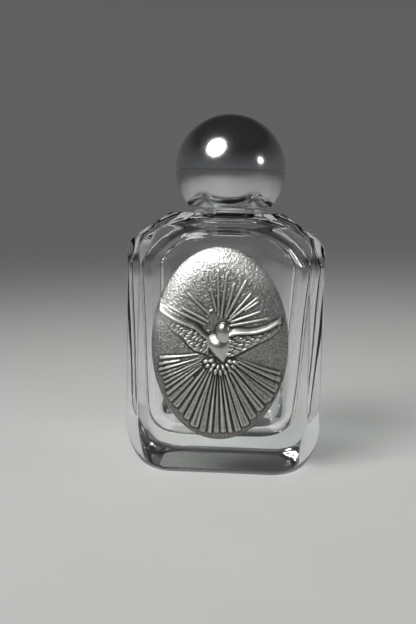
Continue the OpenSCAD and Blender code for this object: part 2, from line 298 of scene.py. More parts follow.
# Finishes, with the two tones that each one goes between

GLASS_TONE = (0.985, 0.995, 0.99, 1)
GLASS_SHADOW = (0.88, 0.9, 0.89, 1)
GLASS_IOR = 1.5
CHROME_CLEAN, CHROME_FILMED = (0.66, 0.67, 0.69), (0.56, 0.57, 0.58)
# Pewter's hollow tones: a dark patina, deepened with painted shade in the recesses
PATINA_SHADE_DARK, PATINA_SHADE_PALE = (0.04, 0.038, 0.036), (0.09, 0.086, 0.08)
GROUND_DARK, GROUND_PALE = (0.2, 0.196, 0.188), (0.5, 0.492, 0.478)
# The crest tones also paint the highlight on the medal's upper left rim
CREST_DULL, CREST_BRIGHT = (0.6, 0.595, 0.58), (0.74, 0.735, 0.72)
PLASTIC_DULL, PLASTIC_WHITE = (0.8, 0.8, 0.78), (0.88, 0.88, 0.865)
MILKY_DULL, MILKY_PALE = (0.8, 0.8, 0.76), (0.9, 0.9, 0.87)
MILKY_CLEAR = 0.35
MILKY_IOR = 1.5
FOAM_CELL, FOAM_WALL = (0.76, 0.76, 0.74), (0.86, 0.86, 0.84)
FOAM_CELLS = 4500
FOAM_ROUGH = 0.85
GLUE_DEEP, GLUE_PALE = (0.62, 0.58, 0.46), (0.78, 0.75, 0.66)


def finish_tree(name):
    """New material with its node tree and its main shader."""
    material = bpy.data.materials.new(name)
    material.use_nodes = True
    tree = material.node_tree
    return material, tree, tree.nodes["Principled BSDF"]


def grain(tree, scale, detail=2.0, rough=0.5, stretch=(1, 1, 1)):
    """Noise on the piece's own coordinates, as its factor socket."""
    where = tree.nodes.new("ShaderNodeTexCoord")
    shift = tree.nodes.new("ShaderNodeMapping")
    shift.inputs["Scale"].default_value = stretch
    noise = tree.nodes.new("ShaderNodeTexNoise")
    noise.inputs["Scale"].default_value = scale
    noise.inputs["Detail"].default_value = detail
    noise.inputs["Roughness"].default_value = rough
    tree.links.new(where.outputs["Object"], shift.inputs["Vector"])
    tree.links.new(shift.outputs["Vector"], noise.inputs["Vector"])
    return noise.outputs["Fac"]


def between(tree, factor, low, high, start=0.3, end=0.7):
    """Number that goes from low to high as factor goes from start to end."""
    span = tree.nodes.new("ShaderNodeMapRange")
    span.inputs["From Min"].default_value = start
    span.inputs["From Max"].default_value = end
    span.inputs["To Min"].default_value = low
    span.inputs["To Max"].default_value = high
    tree.links.new(factor, span.inputs["Value"])
    return span.outputs["Result"]


def tint(tree, factor, low, high):
    """Colour that goes from low to high with factor."""
    mix = tree.nodes.new("ShaderNodeMix")
    mix.data_type = "RGBA"
    mix.inputs["A"].default_value = (*low, 1)
    mix.inputs["B"].default_value = (*high, 1)
    tree.links.new(factor, mix.inputs["Factor"])
    return mix.outputs["Result"]


def bumped(tree, height, strength, distance):
    """Normal of a surface with that relief."""
    bump = tree.nodes.new("ShaderNodeBump")
    bump.inputs["Strength"].default_value = strength
    bump.inputs["Distance"].default_value = distance
    tree.links.new(height, bump.inputs["Height"])
    return bump.outputs["Normal"]


def clear_glass():
    """Pressed clear glass: faint waves in its surface, a trace of haze, and lamps shine through it."""
    material, tree, shader = finish_tree("clear_glass")
    shader.inputs["Base Color"].default_value = GLASS_TONE
    shader.inputs["IOR"].default_value = GLASS_IOR
    shader.inputs["Transmission Weight"].default_value = 1.0
    haze = between(tree, grain(tree, 180, 4), 0.0, 0.035, start=0.45, end=0.75)
    tree.links.new(haze, shader.inputs["Roughness"])
    waves = bumped(tree, grain(tree, 160, 1), strength=0.06, distance=0.0004)
    tree.links.new(waves, shader.inputs["Normal"])
    through = tree.nodes.new("ShaderNodeBsdfTransparent")
    through.inputs["Color"].default_value = GLASS_SHADOW
    rays = tree.nodes.new("ShaderNodeLightPath")
    mix = tree.nodes.new("ShaderNodeMixShader")
    tree.links.new(rays.outputs["Is Shadow Ray"], mix.inputs["Fac"])
    tree.links.new(shader.outputs["BSDF"], mix.inputs[1])
    tree.links.new(through.outputs["BSDF"], mix.inputs[2])
    tree.links.new(mix.outputs["Shader"], tree.nodes["Material Output"].inputs["Surface"])
    return material


def ball_chrome():
    """Bright chrome plating with a film of dust and fine wiping scratches."""
    material, tree, shader = finish_tree("ball_chrome")
    shader.inputs["Metallic"].default_value = 1.0
    film = grain(tree, 260, 5, 0.6)
    colour = tint(tree, between(tree, film, 0, 1), CHROME_CLEAN, CHROME_FILMED)
    tree.links.new(colour, shader.inputs["Base Color"])
    dust = grain(tree, 1500, 5, 0.7)
    tree.links.new(between(tree, dust, 0.13, 0.19, start=0.38, end=0.72), shader.inputs["Roughness"])
    scratch = grain(tree, 900, 3, 0.6, stretch=(1, 1, 9))
    tree.links.new(bumped(tree, scratch, strength=0.03, distance=0.00004), shader.inputs["Normal"])
    return material


def stored(tree, name):
    """Value that a piece stores at each of its points."""
    value = tree.nodes.new("ShaderNodeAttribute")
    value.attribute_name = name
    return value.outputs["Fac"]


def blend(tree, factor, low, high):
    """Colour that goes from one colour socket to another with factor."""
    mix = tree.nodes.new("ShaderNodeMix")
    mix.data_type = "RGBA"
    tree.links.new(factor, mix.inputs["Factor"])
    tree.links.new(low, mix.inputs["A"])
    tree.links.new(high, mix.inputs["B"])
    return mix.outputs["Result"]


def cast_pewter():
    """Cast pewter: rubbed bright on the crests, dark patina with painted shade in the hollows, painted
    highlights on the upper ground and upper left rim, and a sandy ground.
    """
    material, tree, shader = finish_tree("cast_pewter")
    shader.inputs["Metallic"].default_value = 1.0
    wear_and_painted_light = stored(tree, "wear_and_painted_light")
    mottle = grain(tree, 650, 4, 0.65)
    speck = grain(tree, 3400, 3, 0.65)
    patina_and_shade = tint(tree, between(tree, mottle, 0, 1), PATINA_SHADE_DARK, PATINA_SHADE_PALE)
    ground = tint(tree, between(tree, speck, 0, 1, start=0.36, end=0.64), GROUND_DARK, GROUND_PALE)
    crest = tint(tree, between(tree, mottle, 0, 1), CREST_DULL, CREST_BRIGHT)
    # Hollows take the dark patina tones as painted shade, and the ground comes in as the stored value rises
    ground_over_hollows = blend(tree, between(tree, wear_and_painted_light, 0, 1, start=0.0, end=0.42), patina_and_shade, ground)
    colour = blend(tree, between(tree, wear_and_painted_light, 0, 1, start=0.5, end=0.95), ground_over_hollows, crest)
    tree.links.new(colour, shader.inputs["Base Color"])
    dullness = between(tree, stored(tree, "gloss"), 0.42, 0.27, start=0, end=1)
    tree.links.new(dullness, shader.inputs["Roughness"])
    depth = tree.nodes.new("ShaderNodeMath")
    depth.operation = "MULTIPLY"
    tree.links.new(speck, depth.inputs[0])
    sandiness = between(tree, stored(tree, "sand"), 0.12, 1.0, start=0, end=1)
    tree.links.new(sandiness, depth.inputs[1])
    pits = bumped(tree, depth.outputs["Value"], strength=1.0, distance=0.00014)
    tree.links.new(pits, shader.inputs["Normal"])
    return material


def white_plastic():
    """Moulded white plastic with a fine satin texture."""
    material, tree, shader = finish_tree("white_plastic")
    colour = tint(tree, grain(tree, 400, 3), PLASTIC_DULL, PLASTIC_WHITE)
    tree.links.new(colour, shader.inputs["Base Color"])
    tree.links.new(between(tree, grain(tree, 900, 2), 0.3, 0.45), shader.inputs["Roughness"])
    tree.links.new(bumped(tree, grain(tree, 2500, 2), 0.15, 0.00005), shader.inputs["Normal"])
    return material


def natural_plastic():
    """Soft natural plastic, milky where it is thick."""
    material, tree, shader = finish_tree("natural_plastic")
    colour = tint(tree, grain(tree, 350, 3), MILKY_DULL, MILKY_PALE)
    tree.links.new(colour, shader.inputs["Base Color"])
    shader.inputs["Transmission Weight"].default_value = MILKY_CLEAR
    shader.inputs["IOR"].default_value = MILKY_IOR
    tree.links.new(between(tree, grain(tree, 800, 2), 0.35, 0.5), shader.inputs["Roughness"])
    tree.links.new(bumped(tree, grain(tree, 1800, 2), 0.12, 0.00005), shader.inputs["Normal"])
    return material


def liner_foam():
    """Pressed white foam with small closed cells."""
    material, tree, shader = finish_tree("liner_foam")
    cells = tree.nodes.new("ShaderNodeTexVoronoi")
    cells.inputs["Scale"].default_value = FOAM_CELLS
    where = tree.nodes.new("ShaderNodeTexCoord")
    tree.links.new(where.outputs["Object"], cells.inputs["Vector"])
    wall = cells.outputs["Distance"]
    colour = tint(tree, between(tree, wall, 0, 1, start=0.1, end=0.6), FOAM_CELL, FOAM_WALL)
    tree.links.new(colour, shader.inputs["Base Color"])
    shader.inputs["Roughness"].default_value = FOAM_ROUGH
    tree.links.new(bumped(tree, wall, strength=0.4, distance=0.0001), shader.inputs["Normal"])
    return material


def glue_film():
    """Hard clear glue gone slightly yellow, with small bubbles."""
    material, tree, shader = finish_tree("glue_film")
    colour = tint(tree, grain(tree, 500, 4), GLUE_DEEP, GLUE_PALE)
    tree.links.new(colour, shader.inputs["Base Color"])
    tree.links.new(between(tree, grain(tree, 600, 3), 0.25, 0.45), shader.inputs["Roughness"])
    tree.links.new(bumped(tree, grain(tree, 1200, 3), 0.3, 0.0001), shader.inputs["Normal"])
    return material


# Glass flask: the outside from foot to rim, then the bore and the cavity down to its floor

def drawn_in(z, run, rise):
    """How far a rounded foot edge has drawn in at height z."""
    low = max(0.0, 1 - z / rise)
    return run * (1 - math.sqrt(1 - low * low))


def cut_corner_ring(half_w, half_d, z):
    """Ring of the flask's outside: a rectangle with bevelled corners that soften into the foot."""
    cut = EDGE_BEVEL - drawn_in(z, EDGE_BEVEL - FOOT_CUT, HEEL_RISE)
    near_foot = min(1.0, FOOT_SOFTENING * max(0.0, 1 - z / HEEL_RISE))
    soft = EDGE_SOFT + (FOOT_SOFT - EDGE_SOFT) * near_foot
    reach = soft * math.tan(math.pi / 8)
    side_y = half_d - cut - reach
    front_x = half_w - cut - reach
    turn = np.radians(np.linspace(0, 45, TURN_POINTS))
    corner = [(half_w, side_y * i / SIDE_STEPS) for i in range(1, SIDE_STEPS)]
    corner += [(half_w - soft * (1 - math.cos(t)), side_y + soft * math.sin(t)) for t in turn]
    corner += [(front_x + soft * math.sin(t), half_d - soft * (1 - math.cos(t))) for t in turn[::-1]]
    corner += [(front_x * (FRONT_STEPS - i) / FRONT_STEPS, half_d) for i in range(1, FRONT_STEPS)]
    ring = [(half_w, 0)] + corner
    ring += [(0, half_d)] + [(-x, y) for x, y in corner[::-1]]
    ring += [(-half_w, 0)] + [(-x, -y) for x, y in corner]
    ring += [(0, -half_d)] + [(x, -y) for x, y in corner[::-1]]
    return np.array([(x, y, z) for x, y in ring])


def soft_ring(half_w, half_d, z, square):
    """Ring of the cavity: a circle for square 2, and squarer as it grows."""
    turn = FULL_TURN * np.arange(GLASS_STEPS) / GLASS_STEPS
    c, s = np.cos(turn), np.sin(turn)
    x = half_w * np.sign(c) * np.abs(c) ** (2 / square)
    y = half_d * np.sign(s) * np.abs(s) ** (2 / square)
    return np.stack([x, y, np.full_like(x, z)], axis=-1)


def foot_curve(half, run, rise, count):
    """Outline of a rounded foot edge, from the flat foot up to the wall."""
    return [(half - run * (1 - math.sin(t)), rise * (1 - math.cos(t)), 0)
            for t in np.linspace(0, math.pi / 2, count)]


def flask_outside():
    """Rings of the outside, from the middle of the foot to the flat top."""
    side = rounded(
        foot_curve(BODY_HALF_W, HEEL_RUN, HEEL_RISE, HEEL_ROWS)
        + [(BODY_HALF_W, BODY_H - SHOULDER_DROP, SHOULDER_ROUND),
           (BODY_HALF_W - SHOULDER_RUN, BODY_H, SHOULDER_TOP_ROUND), (0, BODY_H, 0)])[:-1]
    front = rounded(
        foot_curve(BODY_HALF_D, FOOT_ROUND, FOOT_ROUND, FOOT_ROWS)
        + [(BODY_HALF_D, BODY_H - EDGE_BEVEL, TOP_SOFT),
           (BODY_HALF_D - EDGE_BEVEL, BODY_H, TOP_SOFT), (0, BODY_H, 0)])[:-1]
    levels = np.unique(np.round(np.concatenate([side[:, 1], front[:, 1]]), 3))
    rings = [soft_ring(0, 0, 0, CIRCLE)]
    first = cut_corner_ring(side[0, 0], front[0, 0], 0)
    rings.append(first * (FOOT_INNER, FOOT_INNER, 1))
    for z in levels:
        half_w = np.interp(z, side[:, 1], side[:, 0])
        half_d = np.interp(z, front[:, 1], front[:, 0])
        rings.append(cut_corner_ring(half_w, half_d, z))
    return rings


def flask_neck():
    """Rings of the collar, the threaded neck, the rim and the bore."""
    top = BODY_H + COLLAR_H
    low = rounded([(COLLAR_R + COLLAR_LEAD, BODY_H, 0), (COLLAR_R, BODY_H, 0.2), (COLLAR_R, top, 0.2),
                   (NECK_R, top, 0.25), (NECK_R, top + THREAD_LAND / 2, 0)])
    thread_z = np.arange(top + THREAD_LAND / 2, RIM_Z - THREAD_LAND / 2, THREAD_ROW)[1:]
    thread = turned(np.stack([np.full_like(thread_z, NECK_R), thread_z], axis=-1), GLASS_STEPS)
    spread = 1 + thread_bulge(thread_z, GLASS_STEPS, THREAD_Z0) / NECK_R
    thread[:, :, 0] *= spread
    thread[:, :, 1] *= spread
    high = rounded([(NECK_R, RIM_Z - THREAD_LAND / 2, 0), (NECK_R, RIM_Z, 0.4), (BORE_R, RIM_Z, 0.3),
                    (BORE_R, BODY_H - TOP_WALL + BORE_END_H, 0)])
    return [*turned(low, GLASS_STEPS), *thread, *turned(high, GLASS_STEPS)]


def flask_cavity():
    """Rings of the blown cavity, from the bore down to the middle of its floor."""
    top = BODY_H - TOP_WALL
    shoulder = BODY_H - SHOULDER_DROP - SHOULDER_WALL
    closing_turn = np.radians(np.linspace(CAVITY_SHOULDER_START, 0, CAVITY_SHOULDER_ROWS))
    shoulders = [shoulder + (top - shoulder) * math.sin(t) for t in closing_turn]
    walls = np.linspace(shoulder, FOOT_T + CAVITY_ROUND, CAVITY_WALL_ROWS)[1:-1]
    floor_turn = np.radians(np.linspace(90, 0, CAVITY_FLOOR_ROWS))
    floor = [FOOT_T + CAVITY_ROUND * (1 - math.cos(t)) for t in floor_turn]
    turn = FULL_TURN * np.arange(GLASS_STEPS) / GLASS_STEPS
    rings = [soft_ring(BORE_R + BORE_FLARE, BORE_R + BORE_FLARE, top + BORE_FLARE_H, CIRCLE)]
    for row, z in enumerate([*shoulders, *walls, *floor]):
        up = max(0, z - shoulder) / (top - shoulder)
        closing = (1 - up ** CAVITY_CLOSING) ** (1 / CAVITY_CLOSING)
        rise = min(1.0, (z - FOOT_T) / (shoulder - FOOT_T))
        round_in = drawn_in(z - FOOT_T, CAVITY_ROUND, CAVITY_ROUND)
        wall_w = BODY_HALF_W - SIDE_WALL_LOW + (SIDE_WALL_LOW - SIDE_WALL_HIGH) * rise
        half_w = CAVITY_TOP_W / 2 + (wall_w - CAVITY_TOP_W / 2) * closing - round_in
        half_d = BODY_HALF_D - FACE_WALL - round_in - drawn_in(top - z, CAVITY_TOP_ROUND, CAVITY_TOP_ROUND)
        square = CIRCLE + (CAVITY_SQUARE - CIRCLE) * min(1, (half_w - BORE_R) / CAVITY_SQUARE_RUN)
        ring = soft_ring(half_w, half_d, z, square)
        wave = np.sin(2 * turn + 0.5 * row) * np.sin(3 * turn + 0.23 * row)
        ring[:, :2] *= (1 - CAVITY_SWAY - CAVITY_SWAY * wave)[:, None]
        ring[:, 0] += CAVITY_SHIFT * (1 - rise)
        rings.append(ring)
    rings.append(rings[-1] * (CAVITY_FLOOR_INNER, CAVITY_FLOOR_INNER, 1))
    rings.append(soft_ring(0, 0, FOOT_T, CIRCLE))
    return rings


flask = spun_piece("flask", np.array(flask_outside() + flask_neck() + flask_cavity()))
dress(flask, clear_glass(), "bottle", "bottle_body")

# Cap: both halves of the ball, the threaded insert and the liner

chrome = ball_chrome()


def lifted(outline):
    """Outline measured from the ball's centre, at its height on the bottle."""
    return outline + (0, BALL_Z)


def ball_angle(radius, z):
    """Angle in degrees above the ball's centre of the point at height z on a sphere."""
    return math.degrees(math.asin(z / radius))


mouth_angle = ball_angle(BALL_R, MOUTH_Z)
seam_angle = ball_angle(BALL_R, SEAM_CUT)
sleeve_joint = ball_angle(BALL_INNER, -math.sqrt(BALL_INNER ** 2 - SLEEVE_R ** 2))
skirt_outline = rounded(
    [(SLEEVE_BORE, MOUTH_Z, 0.12), (MOUTH_R, MOUTH_Z, 0.2)]
    + arc(BALL_R, mouth_angle + MOUTH_TURN, -seam_angle, SKIRT_ROWS)
    + [(BALL_R - SEAM_CUT, 0, 0)]
    + arc(BALL_INNER, 0, sleeve_joint, SKIRT_INNER_ROWS)
    + [(SLEEVE_R, SLEEVE_TOP, 0.1), (SLEEVE_BORE, SLEEVE_TOP, 0.15)])
skirt = spun_piece("ball_skirt", turned(lifted(skirt_outline), CAP_STEPS), closed=True)
dress(skirt, chrome, "cap", "cap_skirt", crease=35)

lip_back = LIP_R - LIP_T
ring_bore = HOLD_RING_R - HOLD_RING_T
ring_out_angle = math.degrees(math.acos(HOLD_RING_R / BALL_INNER))
ring_in_angle = math.degrees(math.acos(ring_bore / BALL_INNER))
dome_outline = rounded(
    arc(BALL_R, 90, seam_angle, DOME_ROWS)
    + [(BALL_R - SEAM_CUT, 0, 0), (LIP_R, 0, 0), (LIP_R, -LIP_H, 0.1),
       (lip_back, -LIP_H, 0.1), (lip_back, LIP_H, 0.1)]
    + arc(BALL_INNER, ball_angle(BALL_INNER, LIP_H), ring_out_angle, DOME_INNER_ROWS)
    + [(HOLD_RING_R, INSERT_ROOF, 0.1), (ring_bore, INSERT_ROOF, 0.1)]
    + arc(BALL_INNER, ring_in_angle, 90, DOME_CROWN_ROWS))
dome = spun_piece("ball_dome", turned(lifted(dome_outline), CAP_STEPS))
dress(dome, chrome, "cap", "cap_dome", crease=35)

insert_ceiling = INSERT_ROOF - INSERT_TOP
thread_start = INSERT_FOOT + INSERT_LEAD
thread_end = insert_ceiling - INSERT_RUNOUT
insert_out = rounded(
    [(0, INSERT_ROOF, 0), (SLEEVE_R, INSERT_ROOF, 0.25), (SLEEVE_R, SLEEVE_TOP, 0.08),
     (INSERT_R, SLEEVE_TOP, 0), (INSERT_R, INSERT_FOOT, 0.15), (INSERT_BORE, INSERT_FOOT, 0.2),
     (INSERT_BORE, thread_start, 0)])
insert_z = np.arange(thread_start, thread_end, THREAD_ROW)[1:]
insert_wall = np.stack([np.full_like(insert_z, INSERT_BORE), insert_z], axis=-1)
insert_thread = turned(lifted(insert_wall), CAP_STEPS)
narrowed = 1 - thread_bulge(insert_z + BALL_Z, CAP_STEPS, THREAD_Z0 - THREAD_DROP) / INSERT_BORE
insert_thread[:, :, 0] *= narrowed
insert_thread[:, :, 1] *= narrowed
insert_in = rounded(
    [(INSERT_BORE, thread_end, 0), (INSERT_BORE, insert_ceiling, 0.2), (0, insert_ceiling, 0)])
insert = spun_piece("threaded_insert", np.concatenate(
    [turned(lifted(insert_out), CAP_STEPS), insert_thread, turned(lifted(insert_in), CAP_STEPS)]))
dress(insert, white_plastic(), "cap", "cap_insert", crease=40)

LINER_R = (liner_high[0] - liner_low[0]) / 2
LINER_EDGE = 0.18
liner_outline = rounded(
    [(0, liner_low[2], 0), (LINER_R, liner_low[2], LINER_EDGE),
     (LINER_R, liner_high[2], LINER_EDGE), (0, liner_high[2], 0)])
liner = spun_piece("sealing_liner", turned(liner_outline, SMALL_STEPS))
dress(liner, liner_foam(), "liner", "cap_liner", crease=40)

# Orifice reducer in the neck

REDUCER_FLANGE_R = (reducer_high[0] - reducer_low[0]) / 2
REDUCER_PLUG_R = BORE_R - FIT_PLAY
REDUCER_WALL = 0.7
ORIFICE_R = 1.3
reducer_bore = REDUCER_PLUG_R - REDUCER_WALL
reducer_ceiling = RIM_Z - REDUCER_WALL
reducer_outline = rounded(
    [(ORIFICE_R, reducer_high[2], 0.12), (REDUCER_FLANGE_R, reducer_high[2], 0.2),
     (REDUCER_FLANGE_R, RIM_Z, 0.1), (REDUCER_PLUG_R, RIM_Z, 0), (REDUCER_PLUG_R, reducer_low[2], 0.25),
     (reducer_bore, reducer_low[2], 0.15), (reducer_bore, reducer_ceiling, 0.2),
     (ORIFICE_R, reducer_ceiling, 0.12)])
reducer = spun_piece("orifice_reducer_plug", turned(reducer_outline, SMALL_STEPS), closed=True)
dress(reducer, natural_plastic(), "bottle", "orifice_reducer", crease=40)

# Glue film behind the medal

GLUE_A = (glue_high[0] - glue_low[0]) / 2
GLUE_B = (glue_high[2] - glue_low[2]) / 2
GLUE_T = -glue_low[1] - BODY_HALF_D
GLUE_SQUEEZE = 0.18
GLUE_EDGE = ((0, 0.1), (0.25, 0), (0.75, 0), (1, 0.1))
GLUE_STEPS = 160


def oval(half_w, half_h, out, steps):
    """Upright oval ring about the medal's middle, out in front of the bottle's middle."""
    turn = FULL_TURN * np.arange(steps) / steps
    out = np.broadcast_to(out, turn.shape)
    return np.stack([MEDAL_X + half_w * np.cos(turn), -out, MEDAL_Z + half_h * np.sin(turn)], axis=-1)


glue_turn = FULL_TURN * np.arange(GLUE_STEPS) / GLUE_STEPS
squeeze = GLUE_SQUEEZE * (1 + np.sin(5 * glue_turn + 0.7) * np.sin(3 * glue_turn))
glue_rings = [oval(0, 0, BODY_HALF_D, GLUE_STEPS)]
for share, draw in GLUE_EDGE:
    half_w = GLUE_A - squeeze - draw
    half_h = GLUE_B - squeeze - draw
    glue_rings.append(oval(half_w, half_h, BODY_HALF_D + GLUE_T * share, GLUE_STEPS))
glue_rings.append(oval(0, 0, BODY_HALF_D + GLUE_T, GLUE_STEPS))
glue = spun_piece("medal_glue", np.array(glue_rings))
dress(glue, glue_film(), "bottle", "medal_adhesive")

# Medal: a cast oval with a diving dove between two fans of rays, all measured from its middle

# Thin rays over the wings: foot and tip of each, then their half width at both and their relief
UPPER_RAYS = (
    ((-2.41, 3.72), (-9.42, 6.72)), ((-1.92, 4.23), (-6.68, 6.59)), ((-1.78, 5.57), (-5.48, 8.94)),
    ((-0.56, 6.1), (-1.62, 10.04)), ((-0.14, 5.4), (-0.38, 13.2)), ((0.29, 5.13), (1.19, 12.75)),
    ((1.03, 5.32), (2.46, 10.98)), ((1.19, 5.16), (4.57, 11.69)), ((1.86, 5.01), (5.44, 9.42)),
    ((1.7, 4.51), (6.76, 8.8)), ((4.29, 6.25), (6.79, 7.97)), ((2.04, 4.27), (7.16, 6.25)),
    ((1.4, 3.5), (8.58, 5.05)), ((-1.79, 5.9), (-0.97, 6.42)))
UPPER_RAY_HALF = (0.22, 0.17)
UPPER_RAY_H = 0.19
RAY_FOOT_SPAN = (-0.05, 0.02)
RAY_TIP_RUN = 0.35
RAYS_RIM_FADE = (0.1, 0.8)

# Rays below the dove: the angle of each about their hub, in degrees
LOWER_RAYS = np.array(
    (188, 194, 199.5, 203.5, 207.5, 212, 216, 221, 226.5, 233, 239.5, 245.5, 253, 260, 264.5, 269.5, 274,
     279.5, 284, 290.5, 298, 307, 317, 328.5, 337, 341))
THIN_RAYS = 7
LATE_RAYS = (1, 8)
LATE_START = 3.2
LOWER_HUB = (0.0, -1.0)
LOWER_RAY_START = 3.3
LOWER_RAY_H = 0.32
LOWER_RAY_INSET = 0.5
LEFT_RAY_INSET = 0.6
LEFT_RAYS_FADE = (285, 325)
RAY_WALL = 0.17
RAY_CROWN = 0.22
RAY_POINT = 0.2
THIN_GROOVE = 0.2
BROAD_GROOVE = 0.09
BROAD_GROOVE_RUN = (2, 15)
FINE_LINE = 0.16
FINE_LINE_FADE = (0.5, 1.0)
LOWER_RAY_ENDS = (0.4, 0.35)

# Wings: width and relief of the leading edge at root and tip, the way the feathers point, and both outlines
FEATHER_LONG = 1.45
FEATHER_WIDE = 0.48
FEATHER_TIP = 0.4
FEATHER_LOW = 0.25
FEATHER_GAP = 0.1
FEATHER_ROUND = 0.85
FEATHER_WAVE = 0.12
LEAD_BACK = 0.35
LEAD_ROUND = 0.2
LEAD_SOFT = 0.9
COVE_WIDE = 1.9
COVE_H = 0.16
COVE_BEND = 1.5
PLUME_BASE = 0.2
PLUME_H = 0.3
PLUME_THINNING = 0.35
PLUME_EDGE = 0.25
WING_ROOT_X = 1.5
WING_PAST = 0.05
WING_FADE = 0.25
LEFT_LEAD = ((0.65, 0.5), (1.2, 0.9))
RIGHT_LEAD = ((1.0, 0.68), (0.75, 0.85))
LEFT_LEAN = 197.0
RIGHT_LEAN = 17.0
LEFT_RIDGE = (
    (-10.66, 6.05), (-9.06, 5.02), (-6.89, 4.08), (-4.55, 3.32), (-3.38, 2.85), (-2.53, 1.54), (-1.6, 1.2))
RIGHT_RIDGE = (
    (1.0, 1.5), (1.6, 1.9), (2.08, 2.19), (3.4, 2.45), (5.54, 2.47), (7.49, 2.95), (8.95, 3.57), (10.64, 4.7))
LEFT_TRAIL = (
    (-10.66, 5.3), (-10.22, 4.59), (-8.2, 2.48), (-6.18, 1.2), (-5.5, 0.22), (-4.31, -0.92),
    (-2.31, -1.52), (-1.6, -1.7))
RIGHT_TRAIL = ((1.0, -2.0), (2.67, -1.69), (6.41, 0.44), (8.84, 1.69), (10.3, 3.1), (10.64, 4.0))

# Dove: height, middle, half width and relief up its breast, then its head and the curls of its tail
DOVE_SOFT = 0.3
DOVE_SIDES = 0.85
DOVE_FORM = (
    (-2.75, 0.8, 0.1, 0.05), (-2.45, 0.7, 0.5, 0.38), (-1.9, 0.5, 0.95, 0.62), (-1.2, 0.25, 1.35, 0.8),
    (-0.5, 0.1, 1.75, 0.93), (0.0, 0.0, 2.0, 0.95), (0.5, -0.05, 2.2, 0.82), (1.0, 0.0, 2.35, 0.6),
    (1.5, -0.05, 2.3, 0.37), (2.0, -0.2, 1.9, 0.16), (2.3, -0.3, 1.2, 0.05), (2.45, -0.3, 0.4, 0.01))
HEAD_AT = (0.75, 2.4)
HEAD_SIZE = (1.32, 1.8, 0.95)
NECK_BLEND = 0.35
NECK_FADE = 0.3
TAIL_AT = (0.4, -2.3)
TAIL_WIDEN = 1.12
TAIL_START = 190
TAIL_SPAN = 160
TAIL_ROWS = ((2.25, 9, 0.5, 0.6), (1.5, 6, 0.6, 0.54))
CURL_SHAPE = (0.72, 1.05)

# Wear and painted light: how bright the ground is rubbed, a painted highlight on the upper ground, crests
# rubbed bright over hollows dark with patina and painted shade, the dove polished, and a painted highlight on
# the upper left rim
CREST_AND_HOLLOW_REACH = 0.42
CREST_AND_HOLLOW_DEPTH = 0.15
WEAR_GROUND = 0.32
UPPER_GROUND_HIGHLIGHT = 0.2
CREST_WEAR_AND_HOLLOW_SHADE = 0.6
WEAR_DOVE = 0.85
UPPER_HIGHLIGHT_MIDDLE_Z = 2.5
UPPER_HIGHLIGHT_OUTWARD = (3.0, 11.0)
UPPER_HIGHLIGHT_UPWARD = (-6, 2)
RIM_HIGHLIGHT_INSET = (1.5, 7.0)
RIM_HIGHLIGHT_SIDE = (0, 10)
DOVE_RISE = (0.05, 0.2)
SAND_GLOSS = 0.5


def eased(start, end, value):
    """0 before start, 1 after end and a soft slope between."""
    t = np.clip((value - start) / (end - start), 0, 1)
    return t * t * (3 - 2 * t)


def smooth_curve(at, places, values, soft):
    """Value at each place on a curve through a few points, with its corners rounded over soft."""
    return np.mean([np.interp(at + soft * k / 4, places, values) for k in range(-4, 5)], axis=0)


def ray_ridge(x, z, foot, tip, foot_half, tip_half, height):
    """Relief of one round-topped ray from foot to tip."""
    along = np.array(tip) - np.array(foot)
    length = math.hypot(*along)
    along = along / length
    t = ((x - foot[0]) * along[0] + (z - foot[1]) * along[1]) / length
    off = np.abs((x - foot[0]) * along[1] - (z - foot[1]) * along[0])
    half = foot_half + (tip_half - foot_half) * np.clip(t, 0, 1)
    ridge = np.sqrt(np.clip(1 - (off / half) ** 2, 0, 1))
    return height * ridge * eased(*RAY_FOOT_SPAN, t) * (1 - eased(1 - RAY_TIP_RUN / length, 1, t))


def swell(x, z, middle, half_w, half_h, height, lean=0.0):
    """Relief of an egg-shaped swelling, leaning by an angle in degrees."""
    c, s = math.cos(math.radians(lean)), math.sin(math.radians(lean))
    dx, dz = x - middle[0], z - middle[1]
    across, up = (dx * c + dz * s) / half_w, (dz * c - dx * s) / half_h
    return height * np.sqrt(np.clip(1 - across ** 2 - up ** 2, 0, 1))


def rim_reach(angle, hub_z, inset):
    """Distance from a point above the medal's middle to its outline, drawn in by inset."""
    a, b = MEDAL_A - inset, MEDAL_B - inset
    c, s = math.cos(angle), math.sin(angle)
    qa = (c / a) ** 2 + (s / b) ** 2
    qb = s * hub_z / b ** 2
    return (math.sqrt(qb * qb - qa * ((hub_z / b) ** 2 - 1)) - qb) / qa


def upper_fan(x, z):
    """Relief of the thin rays over the wings."""
    relief = np.zeros_like(x)
    for foot, tip in UPPER_RAYS:
        relief = np.maximum(relief, ray_ridge(x, z, foot, tip, *UPPER_RAY_HALF, UPPER_RAY_H))
    return relief


def uneven(number, beat, start=0.0):
    """Small handmade difference from piece to piece, between -1 and 1."""
    return np.sin(beat * number + start)


